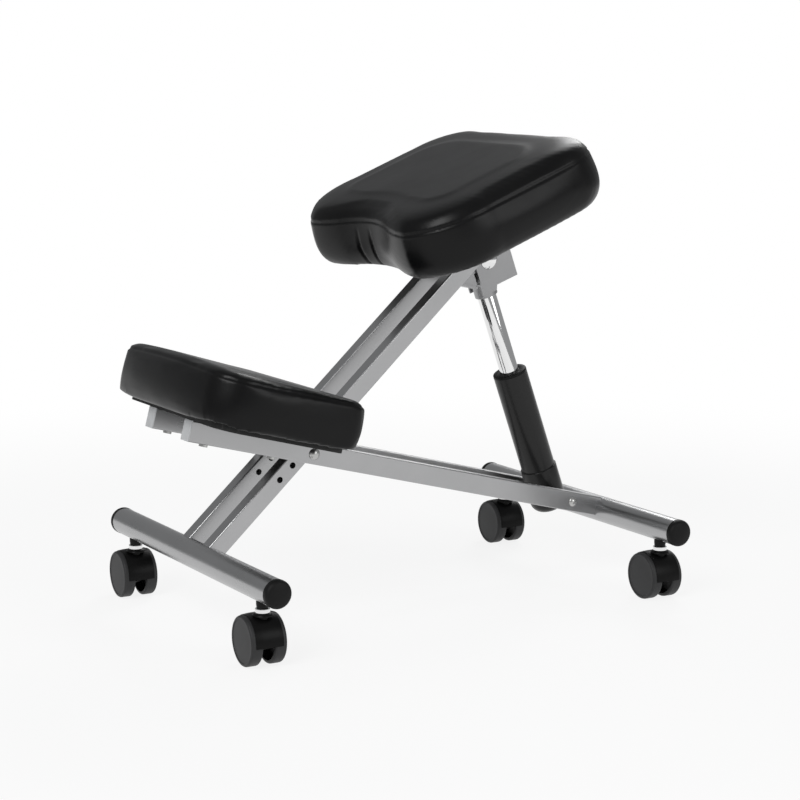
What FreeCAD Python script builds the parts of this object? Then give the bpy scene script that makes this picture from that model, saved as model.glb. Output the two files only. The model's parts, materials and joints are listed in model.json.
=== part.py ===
import FreeCAD, Part
import math
import os
import Sketcher

# A kneeling chair: two beams with a rear foot and a knee pad, two struts with a front foot that
# turn on the beams, and a gas lift that props the seat end of the struts up from the beams.
# X runs across the chair (left is +X), Y from front to rear, Z up; the origin is on the floor,
# on the middle plane, half way between the two foot tubes. Millimetres and degrees.

SIZES = {
    # foot tubes
    "foot_across": 38.0, "foot_wall": 2.0, "foot_length": 480.0, "foot_height": 106.6,
    "foot_spacing": 652.0, "cap_band": 5.0, "cap_dome": 8.0, "cap_spigot": 9.0,
    # stems of the casters and their sockets
    "stem_offset": 202.0, "stem_across": 8.0, "socket_flange": 17.0, "socket_spigot": 13.0,
    "socket_low": 79.0, "socket_high": 112.0, "stem_top": 108.0, "stem_ring": 20.0,
    # beams
    "beam_inner": 46.0, "beam_outer": 68.0, "beam_deep": 29.0, "beam_wall": 1.5,
    "beam_front": -193.0, "plug_thick": 2.0, "plug_spigot": 12.0, "lift_reach": 455.0,
    # struts
    "strut_inner": 21.2, "strut_outer": 42.2, "strut_deep": 26.0, "strut_wall": 1.5,
    "strut_top": 375.0, "strut_end_wall": 3.0, "hole_pitch": 27.25, "hole_across": 9.0,
    "corner_round": 2.0,
    # bolts and their fits
    "bolt_across": 10.0, "still_fit": 0.05, "running_fit": 0.1, "face_gap": 0.2,
    "main_head": 16.0, "lift_head": 13.5, "upper_head": 28.0,
    # gas lift, measured along the column from the lower pivot
    "cup_across": 55.0, "cup_top": 47.0, "tube_across": 51.0, "tube_wall": 2.0,
    "tube_foot": 12.0, "tube_top": 204.0, "bush_top": 208.0, "rod_across": 10.0,
    "column_across": 28.0, "column_foot": 145.0, "column_top": 360.0, "column_bore": 24.0,
    "holder_across": 34.0, "holder_low": 331.0, "holder_high": 364.0,
    "pin_across": 8.0, "pin_top": 365.7,
    # upper pivot, bracket and lever
    "upper_out": 9.4, "upper_up": 385.0, "plate_inner": 17.0, "plate_outer": 20.0,
    "ear_inner": 12.5, "ear_outer": 16.0, "yoke_bore": 14.0, "lever_up": 369.5,
    "lever_across": 7.0, "lever_pivot": -23.5, "lever_pin": 3.0,
    # seat, measured along the seat's own normal from the lower pivot
    "mount_low": 443.0, "mount_thick": 3.0, "seat_board": 12.0, "knee_board": 12.0,
    "board_gap": 0.3,
    # twin-wheel casters
    "wheel_across": 68.0, "trail": 11.6, "rim_inner": 8.5, "wheel_face": 25.5,
    "axle_across": 6.0, "hood_across": 72.0, "hood_gap": 0.5, "hood_half": 19.5,
}

PIVOT_Y = -174.4
PIVOT_Z = 243.8
BEAM_TILT = -15.0
STRUT_TILT = 42.15
COLUMN_TILT = 19.8
SEAT_TILT = 21.3
CASTER_TURN = 177.0

doc = FreeCAD.newDocument("kneeling_chair")
sheet = doc.addObject("Spreadsheet::Sheet", "Sizes")
for row, (alias, number) in enumerate(SIZES.items(), start=1):
    sheet.set("A%d" % row, alias)
    sheet.set("B%d" % row, str(number))
    sheet.setAlias("B%d" % row, alias)
doc.recompute()


def words(number):
    """Gives the expression of a size, or the plain number."""
    return getattr(number, "text", repr(float(number)))


class Size(float):
    """A length that remembers the spreadsheet expression that it comes from."""

    def __new__(cls, value, text):
        size = super().__new__(cls, value)
        size.text = text
        return size

    def __add__(self, other):
        return Size(float(self) + float(other), "(%s + %s)" % (words(self), words(other)))

    def __radd__(self, other):
        return Size(float(other) + float(self), "(%s + %s)" % (words(other), words(self)))

    def __sub__(self, other):
        return Size(float(self) - float(other), "(%s - %s)" % (words(self), words(other)))

    def __rsub__(self, other):
        return Size(float(other) - float(self), "(%s - %s)" % (words(other), words(self)))

    def __mul__(self, other):
        return Size(float(self) * float(other), "(%s * %s)" % (words(self), words(other)))

    def __rmul__(self, other):
        return Size(float(other) * float(self), "(%s * %s)" % (words(other), words(self)))

    def __truediv__(self, other):
        return Size(float(self) / float(other), "(%s / %s)" % (words(self), words(other)))

    def __neg__(self):
        return Size(-float(self), "(0 - %s)" % words(self))


class Sizes:
    """Every named size as an attribute."""


S = Sizes()
for alias, number in SIZES.items():
    setattr(S, alias, Size(number, "Sizes." + alias))


def bind(thing, name, number):
    """Sets one property from a size, by expression where it has one."""
    if hasattr(number, "text"):
        thing.setExpression(name, number.text)
    else:
        thing.setExpression(name, repr(float(number)))


def point(x, y):
    return FreeCAD.Vector(float(x), float(y), 0)


class Arc:
    """An arc of an outline: through a middle point to its end."""

    def __init__(self, middle, end):
        self.middle = middle
        self.end = end


def box(x_low, x_high, y_low, y_high):
    """The four corners of a rectangle."""
    return [(x_low, y_low), (x_high, y_low), (x_high, y_high), (x_low, y_high)]


def rounded(x_half, y_low, y_high, low_round, high_round):
    """A rectangle about the middle plane with its corners rounded."""
    low = low_round * (1 - math.sqrt(0.5))
    high = high_round * (1 - math.sqrt(0.5))
    return [
        (low_round - x_half, y_low),
        (x_half - low_round, y_low),
        Arc((x_half - low, y_low + low), (x_half, y_low + low_round)),
        (x_half, y_high - high_round),
        Arc((x_half - high, y_high - high), (x_half - high_round, y_high)),
        (high_round - x_half, y_high),
        Arc((high - x_half, y_high - high), (-x_half, y_high - high_round)),
        (-x_half, y_low + low_round),
        Arc((low - x_half, y_low + low), (low_round - x_half, y_low)),
    ]


def half_circle(x, y, radius, way):
    """The upper half of a circle, as two arcs, from +X to -X or back."""
    slope = radius * math.sqrt(0.5)
    return [
        (x + way * radius, y),
        Arc((x + way * slope, y + slope), (x, y + radius)),
        Arc((x - way * slope, y + slope), (x - way * radius, y)),
    ]


def dome(radius, low, high):
    """A spherical cap that rises from a rim to a point on the axis."""
    reach, rise = float(radius), float(high) - float(low)
    ball = (reach * reach + rise * rise) / (2 * rise)
    half = math.asin(reach / ball) / 2
    middle = (ball * math.sin(half), float(high) - ball * (1 - math.cos(half)))
    return Arc(middle, (0, high))


class Piece:
    """One rigid piece, drawn in its own frame and then placed on the chair."""

    made = []

    def __init__(self, name, place):
        self.body = doc.addObject("PartDesign::Body", name)
        self.body.Label = name
        self.body.AllowCompound = True
        self.body.Placement = place
        self.last = None
        Piece.made.append(self)

    def sketch(self, role, level=0.0):
        """Adds a sketch on one of the body's own planes, moved along its normal."""
        sketch = self.body.newObject("Sketcher::SketchObject", "outline")
        plane = next(f for f in self.body.Origin.OriginFeatures if f.Role == role)
        sketch.AttachmentSupport = [(plane, "")]
        sketch.MapMode = "FlatFace"
        if float(level) != 0.0:
            bind(sketch, "AttachmentOffset.Base.z", level)
        sketch.Visibility = False
        return sketch

    def draw(self, sketch, path):
        """Draws one closed outline of lines and arcs, each corner held by its two sizes."""
        corners = [step.end if isinstance(step, Arc) else step for step in path]
        closed = isinstance(path[-1], Arc) and corners[-1] == corners[0]
        steps = path[1:] if closed else path[1:] + [path[0]]
        first = sketch.GeometryCount
        starts = []
        here = corners[0]
        for step in steps:
            if isinstance(step, Arc):
                begin, middle, end = point(*here), point(*step.middle), point(*step.end)
                leftward = (middle - begin).cross(end - middle).z > 0
                curve = Part.Arc(begin, middle, end) if leftward else Part.Arc(end, middle, begin)
                index = sketch.addGeometry(curve, False)
                starts.append((index, 1 if leftward else 2, here))
                here = step.end
            else:
                index = sketch.addGeometry(Part.LineSegment(point(*here), point(*step)), False)
                starts.append((index, 1, here))
                here = step
        count = sketch.GeometryCount - first
        for number, (index, end, _) in enumerate(starts):
            ahead, start, _ = starts[(number + 1) % count]
            sketch.addConstraint(Sketcher.Constraint("Coincident", index, 3 - end, ahead, start))
        for index, end, (x, y) in starts:
            self.hold(sketch, index, end, x, y)

    def hold(self, sketch, index, end, x, y):
        """Holds one point of a sketch by its distances from the origin."""
        for kind, number, axis in (("DistanceX", x, -2), ("DistanceY", y, -1)):
            if abs(float(number)) < 1e-9:
                sketch.addConstraint(Sketcher.Constraint("PointOnObject", index, end, axis))
                continue
            rule = Sketcher.Constraint(kind, -1, 1, index, end, float(number))
            made = sketch.addConstraint(rule)
            if hasattr(number, "text"):
                sketch.setExpression("Constraints[%d]" % made, number.text)

    def circle(self, sketch, x, y, across):
        """Draws one circle by its centre and the distance across it."""
        ring = Part.Circle(point(x, y), FreeCAD.Vector(0, 0, 1), float(across) / 2)
        index = sketch.addGeometry(ring, False)
        self.hold(sketch, index, 3, x, y)
        made = sketch.addConstraint(Sketcher.Constraint("Radius", index, float(across) / 2))
        if hasattr(across, "text"):
            sketch.setExpression("Constraints[%d]" % made, (across / 2).text)

    def turn(self, path):
        """Turns an outline of (radius, height) about the body's own Z axis."""
        sketch = self.sketch("XZ_Plane")
        self.draw(sketch, path)
        self.last = self.body.newObject("PartDesign::Revolution", "turned")
        self.last.Profile = sketch
        self.last.ReferenceAxis = (sketch, ["V_Axis"])
        self.last.Angle = 360.0
        return self

    def extend(self, kind, role, low, high, paths, circles):
        """Makes a pad or a pocket that fills the space between two levels."""
        level = -high if role == "XZ_Plane" else low
        sketch = self.sketch(role, level)
        for path in paths:
            self.draw(sketch, path)
        for x, y, across in circles:
            self.circle(sketch, x, y, across)
        self.last = self.body.newObject("PartDesign::" + kind, kind.lower())
        self.last.Profile = sketch
        bind(self.last, "Length", high - low)
        self.last.Reversed = kind == "Pocket"
        return self

    def pad(self, role, low, high, *paths, circles=()):
        return self.extend("Pad", role, low, high, paths, circles)

    def cut(self, role, low, high, *paths, circles=()):
        return self.extend("Pocket", role, low, high, paths, circles)

    def loft(self, levels):
        """Lofts a closed form through outlines that lie at rising levels."""
        sketches = []
        for level, path in levels:
            sketch = self.sketch("XY_Plane", level)
            self.draw(sketch, path)
            sketches.append(sketch)
        self.last = self.body.newObject("PartDesign::AdditiveLoft", "form")
        self.last.Profile = sketches[0]
        self.last.Sections = sketches[1:]
        return self

    def fillet(self, size, test):
        """Rounds every edge of the newest feature that passes the test."""
        doc.recompute()
        edges = self.last.Shape.Edges
        names = ["Edge%d" % n for n, edge in enumerate(edges, start=1) if test(edge)]
        base = self.last
        self.last = self.body.newObject("PartDesign::Fillet", "rounded")
        self.last.Base = (base, names)
        bind(self.last, "Radius", size)
        return self


def frame(y, z, tilt, x=0.0):
    """A frame at a point of the chair, tilted about X."""
    return FreeCAD.Placement(FreeCAD.Vector(x, y, z), FreeCAD.Rotation(FreeCAD.Vector(1, 0, 0), tilt))


def shifted(x, y, z):
    return FreeCAD.Placement(FreeCAD.Vector(x, y, z), FreeCAD.Rotation())


def runs_long(axis):
    """A test for long straight edges along one axis: 0, 1 or 2."""
    def test(edge):
        ends = edge.Vertexes[0].Point - edge.Vertexes[-1].Point
        return abs(ends[axis]) > 60 and edge.Length < abs(ends[axis]) + 0.01
    return test


ALONG_X = FreeCAD.Placement(FreeCAD.Vector(), FreeCAD.Rotation(FreeCAD.Vector(0, 1, 0), 90))
ALONG_Y = FreeCAD.Placement(FreeCAD.Vector(), FreeCAD.Rotation(FreeCAD.Vector(1, 0, 0), -90))
AGAINST_Y = FreeCAD.Placement(FreeCAD.Vector(), FreeCAD.Rotation(FreeCAD.Vector(1, 0, 0), 90))

LEAN = math.radians(BEAM_TILT)
LIFT_Y = PIVOT_Y + SIZES["lift_reach"] * math.cos(LEAN)
LIFT_Z = PIVOT_Z + SIZES["lift_reach"] * math.sin(LEAN)
BEAM = frame(PIVOT_Y, PIVOT_Z, BEAM_TILT)
STRUT = frame(PIVOT_Y, PIVOT_Z, STRUT_TILT)
COLUMN = frame(LIFT_Y, LIFT_Z, COLUMN_TILT)
SEAT = frame(LIFT_Y, LIFT_Z, SEAT_TILT)
FLOOR = frame(0, 0, 0)
SIDES = (("left", 1), ("right", -1))


def inside(place, x, y, z):
    """The coordinates of a point of the chair in one of its frames."""
    return place.inverse().multVec(FreeCAD.Vector(x, y, z))


REAR_FOOT = inside(BEAM, 0, SIZES["foot_spacing"] / 2, SIZES["foot_height"])
FRONT_FOOT = inside(STRUT, 0, -SIZES["foot_spacing"] / 2, SIZES["foot_height"])


def across(side, inner, outer):
    """The low and the high X of a piece that lies between two distances from the middle."""
    return (inner, outer) if side > 0 else (-outer, -inner)


def foot(name, y):
    """A foot tube with its two end caps and the two sockets for the caster stems."""
    half = S.foot_length / 2
    outer = S.foot_across / 2
    inner = outer - S.foot_wall
    tube = Piece(name + "_foot_tube", frame(y, SIZES["foot_height"], 0).multiply(ALONG_X))
    tube.turn([(inner, -half), (outer, -half), (outer, half), (inner, half)])
    spigot = S.socket_spigot + 0.2
    holes = [(0, S.stem_offset, spigot), (0, -S.stem_offset, spigot)]
    tube.cut("YZ_Plane", 12.0, 22.0, circles=holes)
    caps = Piece(name + "_tube_caps", frame(y, SIZES["foot_height"], 0))
    for side in (1, -1):
        face = half if side > 0 else -half
        plug = (half - S.cap_spigot, half) if side > 0 else (-half, S.cap_spigot - half)
        band = (half, half + S.cap_band + S.cap_dome)
        if side < 0:
            band = (-band[1], -half)
        caps.pad("YZ_Plane", plug[0], plug[1], circles=[(0, 0, 2 * inner - 0.2)])
        caps.pad("YZ_Plane", band[0], band[1], circles=[(0, 0, S.foot_across)])
        outward = float(face) + side * (SIZES["cap_band"] + SIZES["cap_dome"])
        caps.fillet(S.cap_dome, lambda edge: abs(edge.CenterOfMass.x - outward) < 0.01)
    sockets = Piece(name + "_stem_sockets", frame(y, 0, 0))
    spots = (S.stem_offset, -S.stem_offset)
    sockets.pad("XY_Plane", S.socket_low, S.socket_low + 13,
                circles=[(x, 0, S.socket_flange) for x in spots])
    sockets.cut("YZ_Plane", -230.0, 230.0, circles=[(0, S.foot_height, S.foot_across)])
    sockets.pad("XY_Plane", S.socket_low + 2, S.socket_high,
                circles=[(x, 0, S.socket_spigot) for x in spots])
    sockets.cut("XY_Plane", S.socket_low - 1, S.socket_high - 2,
                circles=[(x, 0, S.stem_across + 2 * S.still_fit) for x in spots])


def caster(name, x, y):
    """A twin-wheel caster: hood, stem with axle, and two wheels that turn on the axle."""
    turn = FreeCAD.Rotation(FreeCAD.Vector(0, 0, 1), CASTER_TURN)
    place = FreeCAD.Placement(FreeCAD.Vector(x, y, 0), turn)
    radius = S.wheel_across / 2
    outer = S.hood_across / 2
    inner = radius + S.hood_gap
    lobe = outer - 1
    trail = S.trail
    hood = Piece("caster_hood_" + name, place)
    hood.pad("XZ_Plane", -4.0, 4.0, half_circle(trail, radius, lobe, 1) + [
        (trail - 10, radius - 11), (trail + 10, radius - 11)])
    hood.pad("XZ_Plane", -S.hood_half, S.hood_half,
             half_circle(trail, radius, outer, 1) + half_circle(trail, radius, inner, -1))
    hood.pad("XY_Plane", 44.0, S.hood_across, circles=[(0, 0, 15.0)])
    hood.pad("XY_Plane", 68.7, 73.0, circles=[(0, 0, 22.0)])
    hood.cut("XY_Plane", 48.0, 80.0, circles=[(0, 0, S.stem_across + 2 * S.still_fit)])
    hood.cut("XZ_Plane", -6.0, 6.0, circles=[(trail, radius, S.axle_across + 2 * S.still_fit)])
    pins = Piece("caster_pins_" + name, place)
    pins.pad("XY_Plane", 48.0, S.stem_top, circles=[(0, 0, S.stem_across)])
    pins.pad("XY_Plane", 73.0, S.socket_low - 0.3, circles=[(0, 0, S.stem_ring)])
    pins.pad("XZ_Plane", -22.0, 22.0, circles=[(trail, radius, S.axle_across)])
    bore = S.axle_across / 2 + S.running_fit
    face = S.wheel_face
    rim = [
        (bore, 5.0), (7.0, 5.0), (7.0, face - 4), (radius - 4.5, face - 4),
        (radius - 4.5, S.rim_inner), (radius - 3, S.rim_inner),
        Arc((radius - 0.8, S.rim_inner + 1), (radius, S.rim_inner + 3.5)),
        (radius, face - 4), Arc((radius - 0.7, face - 1.4), (radius - 2.8, face)),
        (radius - 4.2, face), (radius - 4.7, face - 0.6), (0, face - 0.6),
        (0, face - 3.2), (bore, face - 3.2),
    ]
    for end, aim in (("fore", ALONG_Y), ("aft", AGAINST_Y)):
        spot = shifted(SIZES["trail"], 0, SIZES["wheel_across"] / 2)
        wheel = Piece("caster_wheel_%s_%s" % (name, end), place.multiply(spot).multiply(aim))
        wheel.turn(rim)


def beams():
    """The two knee beams with their end plugs."""
    half = S.beam_deep / 2
    hollow = half - S.beam_wall
    bore = S.bolt_across + 2 * S.still_fit
    plugs = Piece("beam_end_plugs", BEAM)
    for name, side in SIDES:
        low, high = across(side, S.beam_inner, S.beam_outer)
        beam = Piece("knee_beam_" + name, BEAM)
        beam.pad("XZ_Plane", S.beam_front, REAR_FOOT.y, box(low, high, -half, half))
        beam.fillet(S.corner_round, runs_long(1))
        beam.cut("XZ_Plane", S.beam_front - 1, REAR_FOOT.y + 1,
                 box(low + S.beam_wall, high - S.beam_wall, -hollow, hollow))
        beam.cut("YZ_Plane", -80.0, 80.0, circles=[(REAR_FOOT.y, REAR_FOOT.z, S.foot_across)])
        beam.cut("YZ_Plane", -80.0, 80.0, circles=[(0, 0, bore), (S.lift_reach, 0, bore)])
        beam.cut("XY_Plane", -20.0, 20.0, circles=[(side * 57.0, y, 6.5) for y in PAD_BOLTS])
        plugs.pad("XZ_Plane", S.beam_front - S.plug_thick, S.beam_front, box(low, high, -half, half))
        plugs.fillet(0.8, lambda edge: abs(edge.CenterOfMass.y - SIZES["beam_front"] + 2) < 0.01
                     and edge.CenterOfMass.x * side > 0)
        plugs.pad("XZ_Plane", S.beam_front, S.beam_front + S.plug_spigot,
                  box(low + 1.6, high - 1.6, 0.1 - hollow, hollow - 0.1))


PAD_BOLTS = (-165.0, -60.0)


def knee_pad():
    """The board and the cushion that carry the shins, and the bolts that hold them."""
    top = S.beam_deep / 2
    spots = [(side * 57.0, y) for side in (1, -1) for y in PAD_BOLTS]
    board = Piece("knee_board", BEAM)
    board.pad("XY_Plane", top, top + S.knee_board, rounded(188.0, -231.0, -14.0, 34.0, 16.0))
    board.cut("XY_Plane", top - 1, top + 10, circles=[(x, y, 6.5) for x, y in spots])
    cushion = Piece("knee_cushion", BEAM)
    levels = ((22.0, 3.5), (38.0, 0.0), (62.0, -0.5), (82.0, 1.5))
    cushion.loft([(level, rounded(195.0 - inset, inset - 236.0, -8.0 - inset, 40.0, 22.0))
                  for level, inset in levels])
    crown = ((82.0, 1.5), (86.5, 9.0), (89.6, 26.0), (91.0, 52.0))
    cushion.loft([(level, rounded(195.0 - inset, inset - 236.0, -8.0 - inset, 40.0, 22.0))
                  for level, inset in crown])
    gap = SIZES["board_gap"]
    cushion.cut("XY_Plane", 20.0, top + S.knee_board,
                rounded(188.0 + gap, -231.0 - gap, gap - 14.0, 34.0, 16.0))
    bolts = Piece("knee_pad_bolts", BEAM)
    bolts.pad("XY_Plane", -top - 3.5, -top, circles=[(x, y, 12.0) for x, y in spots])
    bolts.pad("XY_Plane", -top, top + 9, circles=[(x, y, 6.0) for x, y in spots])


def domed_bolt(name, place, head_side, reach, head, rise):
    """A bolt along X: a plain shank, and a domed head at +X."""
    bolt = Piece(name, place.multiply(ALONG_X))
    shank = S.bolt_across / 2
    radius = head / 2
    bolt.turn([
        (0, -reach), (shank, -reach), (shank, head_side), (radius, head_side),
        (radius, head_side + 1), dome(radius, head_side + 1, head_side + rise)])


def hexagon(y, z, flats):
    """The corners of a hexagon about a point."""
    radius = flats / math.sqrt(3)
    turns = [math.radians(60 * n + 30) for n in range(6)]
    return [(y + radius * math.cos(a), z + radius * math.sin(a)) for a in turns]


def nut(name, place, y, z, face):
    """A hexagon nut on the far side of a bolt."""
    piece = Piece(name, place)
    piece.pad("YZ_Plane", -face - 8, -face, hexagon(y, z, 16.0))
    piece.cut("YZ_Plane", -face - 9, -face + 1, circles=[(y, z, S.bolt_across + 2 * S.still_fit)])


def rings(name, place, inner, outer, wide, y=0.0):
    """Two flat rings on a bolt, one on each side of the chair."""
    piece = Piece(name, place)
    for side in (1, -1):
        low, high = across(side, inner, outer)
        bore = S.bolt_across + 2 * S.still_fit
        piece.pad("YZ_Plane", low, high, circles=[(y, 0, wide), (y, 0, bore)])


def pivots():
    """The main bolt where struts cross beams, and the bolt under the gas lift."""
    domed_bolt("main_pivot_bolt", BEAM, S.beam_outer, S.beam_outer + 10, S.main_head, 5.5)
    nut("main_pivot_nut", BEAM, 0.0, 0.0, S.beam_outer)
    rings("main_pivot_washers", BEAM, S.strut_outer + S.face_gap, S.beam_inner, 24.0)
    domed_bolt("gas_lift_bolt", COLUMN, S.beam_outer, S.beam_outer + 10, S.lift_head, 4.5)
    nut("gas_lift_nut", COLUMN, 0.0, 0.0, S.beam_outer)
    rings("gas_lift_spacers", COLUMN, S.cup_across / 2 + 0.3, S.beam_inner, 20.0)
    domed_bolt("upper_pivot_bolt", COLUMN.multiply(shifted(0, SIZES["upper_out"], SIZES["upper_up"])),
               S.plate_outer, S.plate_outer + 10, S.upper_head, 8.0)
    nut("upper_pivot_nut", COLUMN, SIZES["upper_out"], SIZES["upper_up"], S.plate_outer)


def struts():
    """The two struts, the sleeve between them and the yoke at their seat end."""
    half = S.strut_deep / 2
    hollow = half - S.strut_wall
    for name, side in SIDES:
        low, high = across(side, S.strut_inner, S.strut_outer)
        strut = Piece("seat_strut_" + name, STRUT)
        strut.pad("XZ_Plane", FRONT_FOOT.y, S.strut_top, box(low, high, -half, half))
        strut.fillet(S.corner_round, runs_long(1))
        strut.cut("XZ_Plane", FRONT_FOOT.y - 1, S.strut_top - S.strut_end_wall,
                  box(low + S.strut_wall, high - S.strut_wall, -hollow, hollow))
        strut.cut("YZ_Plane", -60.0, 60.0, circles=[(FRONT_FOOT.y, FRONT_FOOT.z, S.foot_across)])
        holes = [(0, 0, S.bolt_across + 2 * S.running_fit)]
        holes += [(-S.hole_pitch * step, 0, S.hole_across) for step in (1, 2)]
        strut.cut("YZ_Plane", -60.0, 60.0, circles=holes)
    spacer = Piece("pivot_spacer", STRUT)
    spacer.pad("YZ_Plane", -S.strut_inner, S.strut_inner,
               circles=[(0, 0, 16.0), (0, 0, S.bolt_across + 2 * S.running_fit)])
    yoke = Piece("strut_yoke", COLUMN)
    yoke.pad("YZ_Plane", -S.strut_inner, S.strut_inner, [
        (-70.0, 398.0), (-50.0, 370.0), (-24.0, 352.0),
        (-21.7, 355.3), (-47.2, 373.0), (-66.7, 400.3)])
    for side in (1, -1):
        low, high = across(side, S.ear_inner, S.ear_outer)
        yoke.pad("YZ_Plane", low, high, [
            (-66.7, 400.3), (-47.2, 373.0), (-21.7, 355.3), (-19.0, 358.0), (-19.0, 374.5),
            (0.5, 374.5), (S.upper_out, S.upper_up - 12),
            Arc((S.upper_out + 12, S.upper_up), (S.upper_out, S.upper_up + 12)), (-45.0, 408.0)])
    yoke.cut("YZ_Plane", -18.0, 18.0, circles=[(S.upper_out, S.upper_up, S.yoke_bore)])


def gas_lift():
    """The telescoping column: the pressure tube on the beams and the piston that it holds."""
    cup = S.cup_across / 2
    tube = S.tube_across / 2
    bore = tube - S.tube_wall
    rod = S.rod_across / 2
    piece = Piece("gas_lift_cup", COLUMN)
    piece.turn([
        (0, -24.0), (12.0, -24.0), Arc((23.0, -19.0), (cup, -8.0)), (cup, S.cup_top - 1.5),
        (cup - 1, S.cup_top), (tube + S.still_fit, S.cup_top), (tube + S.still_fit, S.tube_foot),
        (9.0, S.tube_foot), (9.0, 8.5), (0, 8.5)])
    piece.cut("YZ_Plane", -30.0, 30.0, circles=[(0, 0, S.bolt_across + 2 * S.running_fit)])
    Piece("gas_outer_tube", COLUMN).turn([
        (rod + S.still_fit, S.tube_foot), (tube, S.tube_foot), (tube, S.tube_top), (bore, S.tube_top),
        (bore, S.tube_foot + 3), (rod + S.still_fit, S.tube_foot + 3)])
    slide = S.column_across / 2 + S.running_fit
    Piece("guide_bush", COLUMN).turn([
        (slide, 140.0), (bore - S.still_fit, 140.0), (bore - S.still_fit, S.tube_top),
        (tube, S.tube_top), (tube, S.bush_top - 2), (tube - 3, S.bush_top), (slide, S.bush_top)])
    Piece("piston_rod", COLUMN).turn([
        (0, 9.3), (rod, 9.3), (rod, 10.0), (rod - 1, 10.0), (rod - 1, 11.2), (rod, 11.2),
        (rod, 152.0), (S.column_bore / 2 - 0.3, 152.0), (S.column_bore / 2 - 0.3, 162.0), (0, 162.0)])
    for name, inner, outer, low, high in (
            ("retaining_clip", rod - 1 + S.still_fit, 8.0, 10.1, 11.1),
            ("thrust_bearing", rod + S.still_fit, 12.0, S.tube_foot + 3, S.tube_foot + 7),
            ("rubber_bumper", rod + S.still_fit, 13.0, S.tube_foot + 7, S.tube_foot + 19)):
        Piece(name, COLUMN).turn(box(inner, outer, low, high))


def seat_end():
    """The chrome column, its holder and the bracket under the seat, with the release parts."""
    column = S.column_across / 2
    pin = S.pin_across / 2
    Piece("gas_cylinder", COLUMN).turn([
        (S.rod_across / 2 + S.running_fit, S.column_foot), (column, S.column_foot),
        (column, S.column_top), (pin + S.running_fit, S.column_top), (pin + S.running_fit, 341.0),
        (0, 341.0), (0, 330.0), (S.column_bore / 2, 330.0), (S.column_bore / 2, S.column_foot + 5),
        (S.rod_across / 2 + S.running_fit, S.column_foot + 5)])
    Piece("gas_socket", COLUMN).turn([
        (column + S.still_fit, S.holder_low), (S.holder_across / 2, S.holder_low),
        (S.holder_across / 2, S.holder_high), (9.0, S.holder_high), (9.0, S.column_top),
        (column + S.still_fit, S.column_top)])
    Piece("release_pin", COLUMN).turn([
        (0, 344.0), (pin, 344.0), (pin, S.pin_top - 2.7), dome(pin, S.pin_top - 2.7, S.pin_top)])
    lean = math.tan(math.radians(SEAT_TILT - COLUMN_TILT))
    rise = 1 / math.cos(math.radians(SEAT_TILT - COLUMN_TILT))
    bracket = Piece("seat_bracket", COLUMN)
    front, rear = -15.0, 49.0
    top = S.mount_low * rise
    for side in (1, -1):
        low, high = across(side, S.plate_inner, S.plate_outer)
        bracket.pad("YZ_Plane", low, high, [
            (front, 338.0), (8.0, 338.0), (11.0, 345.0), (rear, 345.0),
            (rear, top + rear * lean), (front, top + front * lean)])
    bracket.pad("YZ_Plane", -S.plate_inner, S.plate_inner, [
        (front, top + front * lean - 3), (rear, top + rear * lean - 3),
        (rear, top + rear * lean), (front, top + front * lean)])
    bracket.pad("XY_Plane", 352.0, 355.0, box(-S.plate_inner, S.plate_inner, front, 30.0))
    bracket.cut("XY_Plane", 350.0, 357.0, circles=[(0, 0, S.holder_across)])
    for low, high in ((-8.5, -5.0), (5.0, 8.5)):
        bracket.pad("XZ_Plane", low, high,
                    box(-S.plate_outer - 7, -S.plate_outer, S.lever_up - 5, S.lever_up + 5))
    bracket.cut("YZ_Plane", -22.0, 22.0,
                circles=[(S.upper_out, S.upper_up, S.bolt_across + 2 * S.still_fit)])
    bracket.cut("YZ_Plane", -20.5, -16.0, circles=[(0, S.lever_up, S.lever_across + 2)])
    bracket.cut("XZ_Plane", -9.0, 9.0,
                circles=[(S.lever_pivot, S.lever_up, S.lever_pin + 2 * S.still_fit)])
    pivot = Piece("lever_pin", COLUMN)
    pivot.pad("XZ_Plane", -9.5, 9.5, circles=[(S.lever_pivot, S.lever_up, S.lever_pin)])
    lever = Piece("release_lever", COLUMN)
    lever.pad("YZ_Plane", -150.0, 5.0, circles=[(0, S.lever_up, S.lever_across)])
    lever.cut("XZ_Plane", -6.0, 6.0,
              circles=[(S.lever_pivot, S.lever_up, S.lever_pin + 2 * S.running_fit)])
    grip = Piece("lever_grip", COLUMN.multiply(shifted(0, 0, SIZES["lever_up"])).multiply(ALONG_X))
    sleeve = S.lever_across / 2 + S.still_fit
    grip.turn([
        (sleeve, -116.0), (6.0, -116.0), (8.0, -121.0), (8.0, -165.5), (5.5, -171.0), (0, -173.0),
        (0, -150.0), (sleeve, -150.0)])


SEAT_BOLTS = [(x, y) for x in (-60.0, 60.0) for y in (-45.0, 95.0)]


def seat_outline(inset, notch):
    """The seat's outline: two front lobes with a hollow between them, and a rounded rear."""
    half = 194.0 - inset
    front = inset - 150.0
    rear = 163.0 - inset
    lobe = 128.0 * half / 194.0
    middle = front + notch
    shoulder = (half - 16.0, (front - 45.0) * 0.5 - 15.0)
    turn = 55.0
    near = turn * (1 - math.sqrt(0.5))
    bend = (lobe * 0.5, (front + middle) / 2)
    out = (lobe * 0.765, front + notch * 0.115)
    back = (lobe * 0.235, middle - notch * 0.115)
    return [
        (0.0, middle),
        Arc(back, bend),
        Arc(out, (lobe, front)),
        Arc(shoulder, (half, -40.0)),
        (half, rear - turn),
        Arc((half - near, rear - near), (half - turn, rear)),
        (turn - half, rear),
        Arc((near - half, rear - near), (-half, rear - turn)),
        (-half, -40.0),
        Arc((-shoulder[0], shoulder[1]), (-lobe, front)),
        Arc((-out[0], out[1]), (-bend[0], bend[1])),
        Arc((-back[0], back[1]), (0.0, middle)),
    ]


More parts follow.
